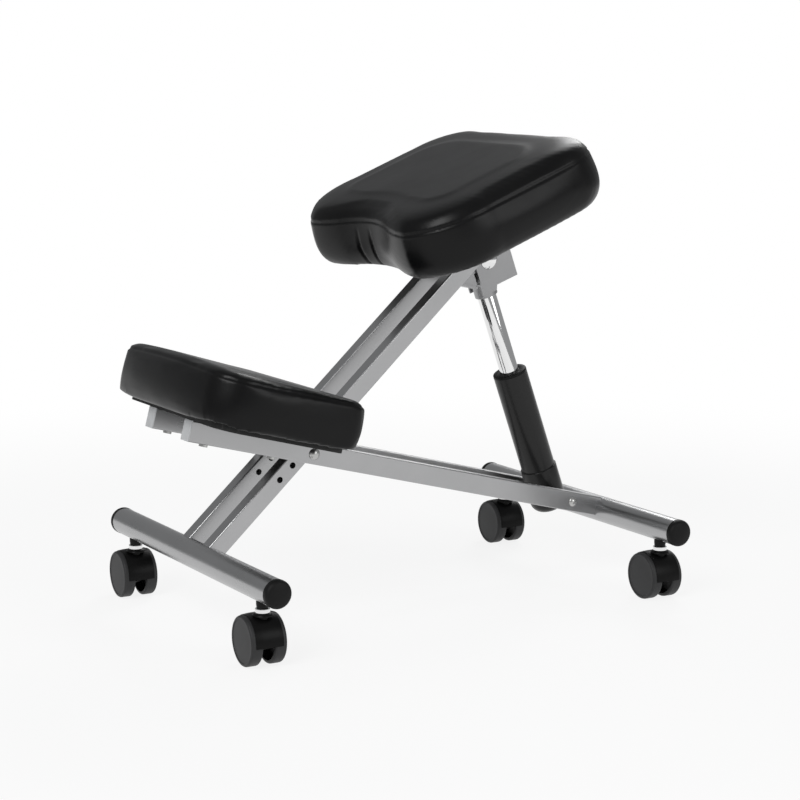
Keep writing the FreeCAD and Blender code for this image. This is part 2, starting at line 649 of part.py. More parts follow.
def seat():
    """The mount plate, the board and the cushion of the seat, and the bolts through them."""
    under = S.mount_low + S.mount_thick
    plate = Piece("seat_mount_plate", SEAT)
    plate.pad("XY_Plane", S.mount_low, under, rounded(80.0, -62.0, 112.0, 12.0, 12.0))
    plate.cut("XY_Plane", S.mount_low - 1, under + 1, circles=[(x, y, 6.5) for x, y in SEAT_BOLTS])
    board = Piece("seat_board", SEAT)
    board.pad("XY_Plane", under, under + S.seat_board, rounded(165.0, -105.0, 140.0, 55.0, 45.0))
    board.cut("XY_Plane", under - 1, under + 10, circles=[(x, y, 6.5) for x, y in SEAT_BOLTS])
    cushion = Piece("seat_cushion", SEAT)
    sides = ((446.0, 14.0, 18.0), (460.0, 3.0, 22.0), (485.0, 0.0, 25.0), (511.0, 3.0, 25.0))
    cushion.loft([(level, seat_outline(inset, notch)) for level, inset, notch in sides])
    crown = ((511.0, 3.0, 25.0), (519.0, 13.0, 22.0), (525.0, 34.0, 16.0), (528.5, 68.0, 8.0))
    cushion.loft([(level, seat_outline(inset, notch)) for level, inset, notch in crown])
    gap = SIZES["board_gap"]
    cushion.cut("XY_Plane", under - 2, under + S.seat_board,
                rounded(165.0 + gap, -105.0 - gap, 140.0 + gap, 55.0, 45.0))
    bolts = Piece("seat_bolts", SEAT)
    bolts.pad("XY_Plane", S.mount_low - 3.5, S.mount_low, circles=[(x, y, 12.0) for x, y in SEAT_BOLTS])
    bolts.pad("XY_Plane", S.mount_low, under + 9, circles=[(x, y, 6.0) for x, y in SEAT_BOLTS])


foot("rear", SIZES["foot_spacing"] / 2)
foot("front", -SIZES["foot_spacing"] / 2)
beams()
knee_pad()
struts()
pivots()
gas_lift()
seat_end()
seat()
for end, y in (("front", -SIZES["foot_spacing"] / 2), ("rear", SIZES["foot_spacing"] / 2)):
    for name, side in SIDES:
        caster("%s_%s" % (end, name), side * SIZES["stem_offset"], y)

doc.recompute()
for thing in doc.Objects:
    if "Invalid" in thing.State or "Error" in thing.State:
        raise RuntimeError("%s did not compute" % thing.Label)
os.makedirs("parts", exist_ok=True)
for piece in Piece.made:
    shape = piece.body.Shape
    if shape.isNull() or not shape.isValid():
        raise RuntimeError("%s has no valid shape" % piece.body.Label)
    shape.exportStep("parts/%s.step" % piece.body.Label)
print("%d pieces" % len(Piece.made))
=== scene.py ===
"""The looks of a kneeling chair: finishes, upholstery, casters, studio and camera."""

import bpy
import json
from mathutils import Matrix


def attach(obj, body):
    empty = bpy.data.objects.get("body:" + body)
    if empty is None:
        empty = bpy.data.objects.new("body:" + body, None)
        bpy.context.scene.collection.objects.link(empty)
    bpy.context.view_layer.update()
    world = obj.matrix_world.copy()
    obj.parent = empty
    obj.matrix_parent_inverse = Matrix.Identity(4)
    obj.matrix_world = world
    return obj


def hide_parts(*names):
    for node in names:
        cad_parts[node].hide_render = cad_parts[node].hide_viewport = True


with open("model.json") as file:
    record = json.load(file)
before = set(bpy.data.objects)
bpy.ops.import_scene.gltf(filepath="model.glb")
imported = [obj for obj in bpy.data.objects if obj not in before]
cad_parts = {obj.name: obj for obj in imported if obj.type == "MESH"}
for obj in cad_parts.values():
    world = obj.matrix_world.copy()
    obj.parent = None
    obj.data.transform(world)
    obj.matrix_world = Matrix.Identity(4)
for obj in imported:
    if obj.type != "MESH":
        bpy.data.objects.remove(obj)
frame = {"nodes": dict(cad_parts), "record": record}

import json
import logging
import math
from dataclasses import dataclass, field, replace
from enum import Enum

import bmesh
import bpy
from mathutils import Matrix, Vector

LOG = logging.getLogger("kneeling_chair")
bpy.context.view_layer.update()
MM = 0.001  # metres in a millimetre
STEPS = 96  # facets round a full turn
WELD = 0.002  # millimetres within which a turned form's corners join
LOOSE_WELD = 0.00002  # metres within which a CAD copy's corners join
RELIEF_DEPTH = 0.0002  # metres that a finish's relief stands for
STEM_X = 202.0  # from the chair's middle to a caster's stem
RAIL_Y = 326.0  # from the chair's middle to a foot tube
BOLT_REACH = 68.0  # from the chair's middle to a beam bolt's head
UPPER_BOLT = (0.0, 9.4, 385.0)  # the seat's pivot in the gas lift's frame

Point = tuple[float, float]


class Place(Enum):
    """The frames that the chair's pieces are drawn in: origin in millimetres and tilt about X."""

    FLOOR = (0.0, 0.0, 0.0)
    BEAM = (-174.4, 243.8, -15.0)
    STRUT = (-174.4, 243.8, 42.15)
    COLUMN = (265.096, 126.037, 19.8)
    SEAT = (265.096, 126.037, 21.3)

    def matrix(self) -> Matrix:
        """Gives the frame's place on the chair, in millimetres."""
        y, z, tilt = self.value
        return Matrix.Translation((0.0, y, z)) @ Matrix.Rotation(math.radians(tilt), 4, "X")


class Along(Enum):
    """The way that a turned piece's own axis points."""

    UP = Matrix.Identity(4)
    ACROSS = Matrix.Rotation(math.radians(90), 4, "Y")
    FORE = Matrix.Rotation(math.radians(-90), 4, "X")
    AFT = Matrix.Rotation(math.radians(90), 4, "X")


@dataclass
class NodeSheet:
    """A node tree that is being drawn."""

    tree: bpy.types.NodeTree

    def add(self, kind: str, **values: object) -> bpy.types.Node:
        """Adds a node.

        Args:
            kind: The node's type without its ShaderNode prefix.
            **values: Socket values by socket name (spaces as underscores), or node properties.

        Returns:
            The new node.
        """
        prefix = "" if kind.startswith("Node") else "ShaderNode"
        node = self.tree.nodes.new(prefix + kind)
        for name, value in values.items():
            socket = name.replace("_", " ")
            if socket in node.inputs:
                node.inputs[socket].default_value = value
            else:
                setattr(node, name, value)
        return node

    def link(self, start: bpy.types.NodeSocket, end: bpy.types.NodeSocket) -> None:
        """Joins two sockets."""
        self.tree.links.new(start, end)


class Effects:
    """Node groups that more than one finish uses."""

    def __init__(self) -> None:
        """Draws the groups once."""
        self.grain = self._grain()
        self.mottle = self._mottle()
        self.pebble = self._pebble()

    @staticmethod
    def _start(name: str, inputs: dict[str, float], outputs: list[str]) -> NodeSheet:
        """Starts a group.

        Args:
            name: The group's name.
            inputs: Its number inputs with their usual values.
            outputs: The names of its number outputs.

        Returns:
            The sheet that the group is drawn on.
        """
        tree = bpy.data.node_groups.new(name, "ShaderNodeTree")
        number = "NodeSocketFloat"
        for title, value in inputs.items():
            socket = tree.interface.new_socket(title, in_out="INPUT", socket_type=number)
            socket.default_value = value
        for title in outputs:
            tree.interface.new_socket(title, in_out="OUTPUT", socket_type=number)
        return NodeSheet(tree)

    def _grain(self) -> bpy.types.NodeTree:
        """Fine even grain, as of sprayed or moulded surfaces."""
        sheet = self._start("fine_grain", {"Scale": 900.0}, ["Height"])
        entry, exit_ = sheet.add("NodeGroupInput"), sheet.add("NodeGroupOutput")
        spot = sheet.add("TexCoord")
        noise = sheet.add("TexNoise", Detail=3.0, Roughness=0.6)
        sheet.link(spot.outputs["Object"], noise.inputs["Vector"])
        sheet.link(entry.outputs["Scale"], noise.inputs["Scale"])
        sheet.link(noise.outputs["Fac"], exit_.inputs["Height"])
        return sheet.tree

    def _mottle(self) -> bpy.types.NodeTree:
        """Large soft patches, which vary a colour or a gloss."""
        inputs = {"Scale": 9.0, "Low": 0.3, "High": 0.4}
        sheet = self._start("soft_mottle", inputs, ["Mask", "Gloss"])
        entry, exit_ = sheet.add("NodeGroupInput"), sheet.add("NodeGroupOutput")
        spot = sheet.add("TexCoord")
        noise = sheet.add("TexNoise", Detail=4.0, Roughness=0.55)
        spread = sheet.add("MapRange", From_Min=0.3, From_Max=0.7)
        gloss = sheet.add("MapRange")
        sheet.link(spot.outputs["Object"], noise.inputs["Vector"])
        sheet.link(entry.outputs["Scale"], noise.inputs["Scale"])
        sheet.link(noise.outputs["Fac"], spread.inputs["Value"])
        sheet.link(spread.outputs["Result"], gloss.inputs["Value"])
        sheet.link(entry.outputs["Low"], gloss.inputs["To Min"])
        sheet.link(entry.outputs["High"], gloss.inputs["To Max"])
        sheet.link(spread.outputs["Result"], exit_.inputs["Mask"])
        sheet.link(gloss.outputs["Result"], exit_.inputs["Gloss"])
        return sheet.tree

    def _pebble(self) -> bpy.types.NodeTree:
        """The small rounded cells of coated upholstery."""
        sheet = self._start("pebble_grain", {"Scale": 900.0}, ["Height"])
        entry, exit_ = sheet.add("NodeGroupInput"), sheet.add("NodeGroupOutput")
        spot = sheet.add("TexCoord")
        warp = sheet.add("TexNoise", Scale=240.0, Detail=2.0)
        cells = sheet.add("TexVoronoi", feature="SMOOTH_F1")
        mix = sheet.add("Mix", data_type="FLOAT", Factor=0.3)
        sheet.link(spot.outputs["Object"], warp.inputs["Vector"])
        sheet.link(spot.outputs["Object"], cells.inputs["Vector"])
        sheet.link(entry.outputs["Scale"], cells.inputs["Scale"])
        sheet.link(cells.outputs["Distance"], mix.inputs["A"])
        sheet.link(warp.outputs["Fac"], mix.inputs["B"])
        sheet.link(mix.outputs["Result"], exit_.inputs["Height"])
        return sheet.tree


@dataclass(frozen=True)
class Finish:
    """One surface finish: two near shades, a gloss range and a fine relief."""

    name: str
    light: tuple[float, float, float]
    dark: tuple[float, float, float]
    metal: float = 0.0
    gloss_low: float = 0.35
    gloss_high: float = 0.45
    patch: float = 9.0
    grain: float = 900.0
    relief: float = 0.05
    specular: float = 0.5
    leathery: bool = False

    def build(self, effects: Effects) -> bpy.types.Material:
        """Draws the material.

        Args:
            effects: The shared groups.

        Returns:
            The finished material.
        """
        made = bpy.data.materials.new(self.name)
        made.use_nodes = True
        sheet = NodeSheet(made.node_tree)
        sheet.tree.nodes.clear()
        shell = sheet.add("BsdfPrincipled", Metallic=self.metal, Specular_IOR_Level=self.specular)
        out = sheet.add("OutputMaterial")
        patches = sheet.add("Group", node_tree=effects.mottle)
        patches.inputs["Scale"].default_value = self.patch
        patches.inputs["Low"].default_value = self.gloss_low
        patches.inputs["High"].default_value = self.gloss_high
        tint = sheet.add("Mix", data_type="RGBA")
        tint.inputs["A"].default_value = (*self.dark, 1.0)
        tint.inputs["B"].default_value = (*self.light, 1.0)
        tree = effects.pebble if self.leathery else effects.grain
        relief = sheet.add("Group", node_tree=tree)
        relief.inputs["Scale"].default_value = self.grain
        bump = sheet.add("Bump", Strength=self.relief, Distance=RELIEF_DEPTH)
        sheet.link(patches.outputs["Mask"], tint.inputs["Factor"])
        sheet.link(tint.outputs["Result"], shell.inputs["Base Color"])
        sheet.link(patches.outputs["Gloss"], shell.inputs["Roughness"])
        sheet.link(relief.outputs["Height"], bump.inputs["Height"])
        sheet.link(bump.outputs["Normal"], shell.inputs["Normal"])
        sheet.link(shell.outputs["BSDF"], out.inputs["Surface"])
        return made


class Slot(Enum):
    """The record's material slots, each with its finish."""

    FRAME = "frame_metal"
    BRACKET = "bracket_metal"
    GREY = "grey_plastic"
    BLACK = "black_plastic"
    WOOD = "board_wood"
    COVER = "cushion_cover"
    STEEL = "fastener_steel"
    CHROME = "chrome"
    RUBBER = "rubber"
    SLEEVE = "lift_sleeve"
    HOOD = "caster_hood"
    WHEEL = "caster_wheel"


FINISHES: dict[Slot, Finish] = {
    Slot.FRAME: Finish("satin_silver", (0.45, 0.45, 0.455), (0.40, 0.402, 0.406), metal=1.0,
                       gloss_low=0.26, gloss_high=0.33, grain=2600.0, relief=0.06),
    Slot.BRACKET: Finish("satin_silver_welded", (0.38, 0.38, 0.385), (0.33, 0.332, 0.336),
                         metal=1.0, gloss_low=0.34, gloss_high=0.42, grain=2200.0, relief=0.08),
    Slot.GREY: Finish("light_grey_plastic", (0.62, 0.63, 0.64), (0.56, 0.57, 0.58)),
    Slot.BLACK: Finish("matt_black_plastic", (0.006, 0.006, 0.006), (0.004, 0.004, 0.004),
                       gloss_low=0.48, gloss_high=0.58, grain=3000.0, relief=0.12, specular=0.2),
    Slot.WOOD: Finish("stained_plywood", (0.014, 0.014, 0.014), (0.009, 0.009, 0.009),
                      gloss_low=0.6, gloss_high=0.75, patch=40.0),
    Slot.SLEEVE: Finish("black_lift_coat", (0.007, 0.007, 0.007), (0.005, 0.005, 0.005),
                        gloss_low=0.26, gloss_high=0.32, grain=2600.0, relief=0.04, specular=0.35),
    Slot.COVER: Finish("black_upholstery", (0.0036, 0.0036, 0.0038), (0.0026, 0.0026, 0.0028),
                       gloss_low=0.30, gloss_high=0.36, patch=14.0, relief=0.16,
                       specular=0.2, leathery=True),
    Slot.STEEL: Finish("zinc_plated", (0.55, 0.55, 0.54), (0.48, 0.48, 0.47), metal=1.0,
                       gloss_low=0.28, gloss_high=0.36),
    Slot.CHROME: Finish("bright_chrome", (0.82, 0.82, 0.82), (0.79, 0.79, 0.79), metal=1.0,
                        gloss_low=0.05, gloss_high=0.09, relief=0.01),
    Slot.RUBBER: Finish("black_rubber", (0.02, 0.02, 0.02), (0.014, 0.014, 0.014),
                        gloss_low=0.7, gloss_high=0.85),
    Slot.HOOD: Finish("black_hood", (0.005, 0.005, 0.005), (0.0035, 0.0035, 0.0035),
                      gloss_low=0.32, gloss_high=0.40, grain=2500.0, relief=0.06, specular=0.12),
    Slot.WHEEL: Finish("dark_grey_wheel", (0.032, 0.032, 0.033), (0.027, 0.027, 0.028),
                       gloss_low=0.46, gloss_high=0.54, grain=3000.0, relief=0.08, specular=0.3),
}


class Paints:
    """The finished materials by slot."""

    def __init__(self) -> None:
        """Builds every finish."""
        effects = Effects()
        self.made = {slot: finish.build(effects) for slot, finish in FINISHES.items()}

    def cover(self, piece: bpy.types.Object, slot: Slot) -> None:
        """Gives a piece one finish."""
        piece.data.materials.clear()
        piece.data.materials.append(self.made[slot])


@dataclass
class Maker:
    """Draws one piece in millimetres and sets it in the scene in metres."""

    name: str
    paints: Paints
    slot: Slot
    body: str
    place: Matrix = field(default_factory=Matrix.Identity)
    mesh: bmesh.types.BMesh = field(default_factory=bmesh.new)

    def turned(self, profile: list[Point], turn: Matrix = Along.UP.value,
               angle: float = 360.0, closed: bool = False) -> None:
        """Spins a profile about its own Z axis.

        Args:
            profile: The corners as radius and height.
            turn: Where the spun form goes in the piece's frame.
            angle: How far it is spun, in degrees.
            closed: Whether the profile is a ring of corners, spun with its face.
        """
        corners = [self.mesh.verts.new((max(r, 0.0), 0.0, z)) for r, z in profile]
        edges = [self.mesh.edges.new(pair) for pair in zip(corners, corners[1:])]
        faces = [self.mesh.faces.new(corners)] if closed else []
        bmesh.ops.spin(self.mesh, geom=corners + edges + faces, cent=(0, 0, 0), axis=(0, 0, 1),
                       angle=math.radians(angle), steps=int(STEPS * angle / 360),
                       use_merge=angle >= 360.0, use_duplicate=False)
        bmesh.ops.remove_doubles(self.mesh, verts=self._fresh(), dist=WELD)
        self._settle(turn)

    def plate(self, outline: list[Point], low: float, high: float, turn: Matrix) -> None:
        """Adds a flat plate.

        Args:
            outline: Its corners in its own XY plane.
            low: The level of its underside.
            high: The level of its top.
            turn: Where the plate goes in the piece's frame.
        """
        face = self.mesh.faces.new([self.mesh.verts.new((x, y, low)) for x, y in outline])
        grown = bmesh.ops.extrude_face_region(self.mesh, geom=[face])["geom"]
        top = [part for part in grown if isinstance(part, bmesh.types.BMVert)]
        bmesh.ops.translate(self.mesh, vec=(0, 0, high - low), verts=top)
        self._settle(turn)

    def _fresh(self) -> list[bmesh.types.BMVert]:
        """Gives the corners of the form that was drawn last."""
        return [corner for corner in self.mesh.verts if not corner.tag]

    def _settle(self, turn: Matrix) -> None:
        """Moves the last form to its place, and marks it so that the next one is moved alone."""
        bmesh.ops.transform(self.mesh, matrix=turn, verts=self._fresh())
        for corner in self.mesh.verts:
            corner.tag = True

    def finish(self, *nodes: str, smooth: float = 32.0) -> None:
        """Sets the piece in the scene.

        Args:
            *nodes: The CAD nodes that it stands for.
            smooth: The angle in degrees under which faces shade smoothly.
        """
        metres = Matrix.Scale(MM, 4) @ self.place
        bmesh.ops.transform(self.mesh, matrix=metres, verts=self.mesh.verts)
        bmesh.ops.recalc_face_normals(self.mesh, faces=self.mesh.faces)
        data = bpy.data.meshes.new(self.name)
        self.mesh.to_mesh(data)
        self.mesh.free()
        piece = bpy.data.objects.new(self.name, data)
        bpy.context.scene.collection.objects.link(piece)
        data.shade_smooth()
        data.set_sharp_from_angle(angle=math.radians(smooth))
        self.paints.cover(piece, self.slot)
        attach(piece, self.body)
        if nodes:
            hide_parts(*nodes)
        LOG.info("%s rides on %s", self.name, self.body)


def arc(centre: Point, radius: float, start: float, end: float, steps: int = 8) -> list[Point]:
    """Gives points along a round corner.

    Args:
        centre: The corner's centre.
        radius: Its radius.
        start: The angle where it starts, in degrees.
        end: The angle where it ends.
        steps: The number of steps between them.

    Returns:
        The points from start to end.
    """
    angles = [math.radians(start + (end - start) * n / steps) for n in range(steps + 1)]
    return [(centre[0] + radius * math.cos(a), centre[1] + radius * math.sin(a)) for a in angles]


@dataclass
class FootRail:
    """A foot tube with its domed caps and stem sockets."""

    name: str
    body: str
    y: float
    paints: Paints
    height: float = 106.6
    radius: float = 19.0
    half: float = 240.0
    wall: float = 2.0
    cap_lip: float = 0.4
    cap_plug: float = 9.0
    cap_corner: float = 7.0
    cap_height: float = 13.0
    crown_step: float = 3.2
    crown_rise: float = 2.3
    socket_bore: float = 4.05
    socket_radius: float = 8.5
    socket_foot: float = 79.0
    socket_top: float = 92.0

    def build(self) -> None:
        """Builds the tube, the caps and the sockets."""
        place = Matrix.Translation((0.0, self.y, self.height)) @ Along.ACROSS.value
        inner = self.radius - self.wall
        tube = Maker(f"{self.name}_tube", self.paints, Slot.FRAME, self.body, place)
        tube.turned([(inner, -self.half), (self.radius, -self.half), (self.radius, self.half),
                     (inner, self.half), (inner, -self.half)])
        tube.finish(f"{self.name}_foot_tube")
        caps = Maker(f"{self.name}_caps", self.paints, Slot.BLACK, self.body, place)
        for turn in (Along.UP.value, Matrix.Rotation(math.pi, 4, "X")):
            caps.turned(self._cap(inner), turn)
        caps.finish(f"{self.name}_tube_caps")
        middle = Matrix.Translation((0.0, self.y, 0.0))
        sockets = Maker(f"{self.name}_sockets", self.paints, Slot.BLACK, self.body, middle)
        for x in (STEM_X, -STEM_X):
            sockets.turned(self._socket(), Matrix.Translation((x, 0.0, 0.0)))
        sockets.finish(f"{self.name}_stem_sockets")

    def _cap(self, inner: float) -> list[Point]:
        """Gives a cap's profile: a plug in the tube, a lip, a round corner and a low crown."""
        rim, end = self.radius + self.cap_lip, self.half
        plug = [(inner, end - self.cap_plug), (inner, end), (rim - 0.5, end), (rim, end + 0.5)]
        corner = arc((rim - self.cap_corner, end + 4.6), self.cap_corner, 0, 60)
        crown = [(rim - self.cap_corner / 2 - self.crown_step * n,
                  end + 10.66 + self.crown_rise * math.sin(n * math.pi / 9)) for n in range(1, 5)]
        return plug + corner + crown + [(0.0, end + self.cap_height)]

    def _socket(self) -> list[Point]:
        """Gives a stem socket's profile, which tapers at its foot."""
        bore, ring, foot = self.socket_bore, self.socket_radius, self.socket_foot
        return [(bore, foot), (ring - 1.3, foot), (ring - 0.6, foot + 0.6), (ring, foot + 5.0),
                (ring, self.socket_top), (bore, self.socket_top), (bore, foot)]


@dataclass
class Caster:
    """A twin-wheel caster."""

    corner: str
    x: float
    y: float
    paints: Paints
    radius: float = 34.0
    trail: float = 11.6
    turn: float = 177.0
    face: float = 25.5
    rim: float = 8.5
    tread: float = 4.5
    hub: float = 7.0
    hub_end: float = 5.0
    axle_bore: float = 3.1
    axle_radius: float = 3.0
    axle_half: float = 22.0
    hood_radius: float = 36.0
    hood_inner: float = 34.5
    hood_half: float = 19.5
    hood_start: float = -5.0
    hood_sweep: float = 190.0
    web_radius: float = 35.0
    web_half: float = 4.0
    web_span: float = 12.0
    web_foot: float = 22.0
    neck_foot: float = 44.0
    neck_radius: float = 7.5
    brim: float = 73.0
    stem_foot: float = 48.0
    stem_radius: float = 4.0
    stem_top: float = 108.0
    collar_radius: float = 10.0
    collar_top: float = 78.7
    chamfer: float = 0.6

    def place(self) -> Matrix:
        """Gives the caster's frame: the stem is its Z axis and the wheels trail along X."""
        spot = Matrix.Translation((self.x, self.y, 0.0))
        return spot @ Matrix.Rotation(math.radians(self.turn), 4, "Z")

    def build(self) -> None:
        """Builds the hood, the pins and the two wheels."""
        body = f"caster_{self.corner}"
        axle = Matrix.Translation((self.trail, 0.0, self.radius))
        self._hood(body, axle)
        self._pins(body, axle)
        for end, way in (("fore", Along.FORE), ("aft", Along.AFT)):
            self._wheel(end, axle @ way.value)

    def _hood(self, body: str, axle: Matrix) -> None:
        """Builds the hood over the wheels, the web between them and the neck."""
        hood = Maker(f"hood_{self.corner}", self.paints, Slot.HOOD, body, self.place())
        shell = [(self.hood_radius - abs(n) ** 3 / 27.0, n * self.hood_half / 3)
                 for n in range(-3, 4)]
        ring = [(self.hood_inner, self.hood_half), (self.hood_inner, -self.hood_half)]
        start = Matrix.Rotation(math.radians(self.hood_start), 4, "Z")
        hood.turned(shell + ring, axle @ Along.AFT.value @ start, self.hood_sweep, closed=True)
        web = arc((self.trail, self.radius), self.web_radius, -4, 184, 40)
        web += [(self.trail - self.web_span, self.web_foot),
                (self.trail + self.web_span, self.web_foot)]
        hood.plate(web, -self.web_half, self.web_half, Along.AFT.value)
        neck, foot, brim = self.neck_radius, self.neck_foot, self.brim
        hood.turned([(0.0, foot), (neck - 1.0, foot), (neck, foot + 1.0), (neck, brim - 7.0),
                     (neck, brim - 4.3), (neck + 5.9, brim - 4.3), (neck + 6.1, brim - 3.2),
                     (neck + 5.1, brim - 1.4), (neck + 3.5, brim - 0.4), (neck + 1.5, brim),
                     (0.0, brim)])
        hood.finish(f"caster_hood_{self.corner}")

    def _pins(self, body: str, axle: Matrix) -> None:
        """Builds the stem with its collar, and the axle."""
        pins = Maker(f"pins_{self.corner}", self.paints, Slot.CHROME, body, self.place())
        stem, collar, cut = self.stem_radius, self.collar_radius, self.chamfer
        pins.turned([(0.0, self.stem_foot), (stem, self.stem_foot), (stem, self.brim),
                     (collar - cut, self.brim), (collar, self.brim + cut),
                     (collar, self.collar_top - cut), (collar - cut, self.collar_top),
                     (stem, self.collar_top), (stem, self.stem_top - 1.0),
                     (stem - 1.0, self.stem_top), (0.0, self.stem_top)])
        pin, half = self.axle_radius, self.axle_half
        pins.turned([(0.0, -half), (pin, -half), (pin, half), (0.0, half)],
                    axle @ Along.FORE.value)
        pins.finish(f"caster_pins_{self.corner}")

    def _wheel(self, end: str, turn: Matrix) -> None:
        """Builds one wheel: a bowl with a rounded tread and a disc inside a thin rim."""
        name = f"{self.corner}_{end}"
        wheel = Maker(f"wheel_{name}", self.paints, Slot.WHEEL, f"wheel_{name}", self.place())
        r, face, bore, wall = self.radius, self.face, self.axle_bore, self.radius - self.tread
        bowl = [(bore, self.hub_end), (self.hub, self.hub_end), (self.hub, face - 4.0),
                (wall, face - 4.0), (wall, self.rim), (r - 3.0, self.rim)]
        tread = arc((r - 3.0, self.rim + 3.0), 3.0, -90, 0, 6)
        tread += arc((r - 3.2, face - 3.2), 3.2, 0, 82, 7)
        disc = [(r - 3.9, face), (r - 4.4, face - 0.15), (r - 4.7, face - 0.7),
                (r - 5.2, face - 0.75), (r - 12.0, face - 0.45), (self.hub + 1.0, face - 0.25),
                (0.0, face - 0.2), (0.0, face - 3.2), (bore, face - 3.2), (bore, self.hub_end)]
        wheel.turned(bowl + tread + disc, turn)
        wheel.finish(f"caster_wheel_{name}")


@dataclass
class GasLift:
    """The telescoping column from the lower bolt to the bracket under the seat."""

    paints: Paints
    tube_radius: float = 25.5
    tube_bore: float = 23.5
    tube_foot: float = 12.0
    tube_floor: float = 15.0
    tube_top: float = 204.0
    tube_hole: float = 5.05
    cup_radius: float = 27.5
    cup_foot: float = -24.0
    cup_corner: float = 16.0
    cup_top: float = 47.0
    cup_lip: float = 1.2
    cup_gap: float = 0.06
    bush_gap: float = 0.1
    bush_foot: float = 140.0
    bush_top: float = 208.0
    bush_corner: float = 1.9
    column_radius: float = 14.0
    column_bore: float = 12.0
    column_foot: float = 145.0
    column_floor: float = 150.0
    column_roof: float = 330.0
    column_top: float = 360.0
    rod_bore: float = 5.1
    pin_bore: float = 4.1
    pin_depth: float = 19.0
    holder_bore: float = 14.05
    holder_radius: float = 17.0
    holder_foot: float = 331.0
    holder_top: float = 364.0

    def build(self) -> None:
        """Builds the cup, the tube with its bush, the chrome column and its holder."""
        place = Place.COLUMN.matrix()
        pieces = (
            ("lift_cup", Slot.SLEEVE, "gas_base", "gas_lift_cup", (self._cup(),)),
            ("lift_tube", Slot.SLEEVE, "gas_base", "gas_outer_tube", (self._tube(),)),
            ("lift_bush", Slot.BLACK, "gas_base", "guide_bush", (self._bush(),)),
            ("lift_column", Slot.CHROME, "seat", "gas_cylinder", self._column()),
            ("lift_holder", Slot.BRACKET, "seat", "gas_socket", (self._holder(),)),
        )
        for name, slot, body, node, profiles in pieces:
            piece = Maker(name, self.paints, slot, body, place)
            for profile in profiles:
                piece.turned(profile)
            piece.finish(node)

    def _cup(self) -> list[Point]:
        """Gives the profile of the cup that the tube stands in."""
        corner, lip, bore = self.cup_corner, self.cup_lip, self.tube_radius + self.cup_gap
        base = arc((self.cup_radius - corner, self.cup_foot + corner), corner, -90, 0, 12)
        edge = arc((self.cup_radius - lip, self.cup_top - lip), lip, 0, 90, 4)
        return [(0.0, self.cup_foot)] + base + edge + [
            (bore, self.cup_top), (bore, self.tube_foot), (0.0, self.tube_foot)]

    def _tube(self) -> list[Point]:
        """Gives the profile of the outer tube, whose floor has a hole for the rod."""
        radius, bore, top = self.tube_radius, self.tube_bore, self.tube_top
        hole = self.tube_hole
        return [(hole, self.tube_foot), (radius, self.tube_foot), (radius, top - 0.5),
                (radius - 0.5, top), (bore, top), (bore, self.tube_floor),
                (hole, self.tube_floor), (hole, self.tube_foot)]

    def _bush(self) -> list[Point]:
        """Gives the profile of the bush that guides the column, with its collar."""
        inner, outer = self.column_radius + self.bush_gap, self.tube_bore - self.bush_gap
        edge, top, corner = self.tube_radius, self.tube_top, self.bush_corner
        collar = [(edge - 0.2, top), (edge, top + 0.3)]
        collar += arc((edge - corner, top + 1.4), corner, 0, 60, 4)
        return [(inner, self.bush_foot), (outer, self.bush_foot), (outer, top)] + collar + [
            (20.0, self.bush_top - 0.2), (15.0, self.bush_top), (inner, self.bush_top - 0.4),
            (inner, self.bush_foot)]

    def _column(self) -> tuple[list[Point], list[Point]]:
        """Gives the column's outer and inner profiles."""
        radius, bore, foot, top = (self.column_radius, self.column_bore, self.column_foot,
                                   self.column_top)
        outer = [(self.rod_bore, foot), (radius - 0.6, foot), (radius, foot + 0.6),
                 (radius, top - 2.0), (radius - 1.0, top), (self.pin_bore, top),
                 (self.pin_bore, top - self.pin_depth), (0.0, top - self.pin_depth)]
        inner = [(0.0, self.column_roof), (bore, self.column_roof), (bore, self.column_floor),
                 (self.rod_bore, self.column_floor), (self.rod_bore, foot)]
        return outer, inner

    def _holder(self) -> list[Point]:
        """Gives the profile of the socket on the column's top."""
        bore, radius, foot, top = (self.holder_bore, self.holder_radius, self.holder_foot,
                                   self.holder_top)
        return [(bore, foot), (radius - 0.5, foot), (radius, foot + 0.5), (radius, top - 0.8),
                (radius - 0.8, top), (9.0, top), (9.0, self.column_top),
                (bore, self.column_top), (bore, foot)]


@dataclass
class DomedBolt:
    """A bolt through the chair with a domed head on the left."""

    name: str
    node: str
    body: str
    place: Matrix
    paints: Paints
    finish: Slot
    reach: float
    radius: float
    rise: float
    shank: float = 5.0
    tail: float = 10.0
    chamfer: float = 0.6
    edge: float = 1.2

    def build(self) -> None:
        """Builds the shank and the head."""
        across = self.place @ Along.ACROSS.value
        bolt = Maker(self.name, self.paints, self.finish, self.body, across)
        dome = self.rise - self.edge
        ball = (self.radius ** 2 + dome ** 2) / (2 * dome)
        sweep = math.degrees(math.asin(self.radius / ball))
        cap = arc((0.0, self.reach + self.rise - ball), ball, 90 - sweep, 90, 12)
        end = -self.reach - self.tail
        bolt.turned([(0.0, end), (self.shank - self.chamfer, end),
                     (self.shank, end + self.chamfer), (self.shank, self.reach),
                     (self.radius - 0.4, self.reach), (self.radius, self.reach + 0.4)] + cap)
        bolt.finish(self.node)


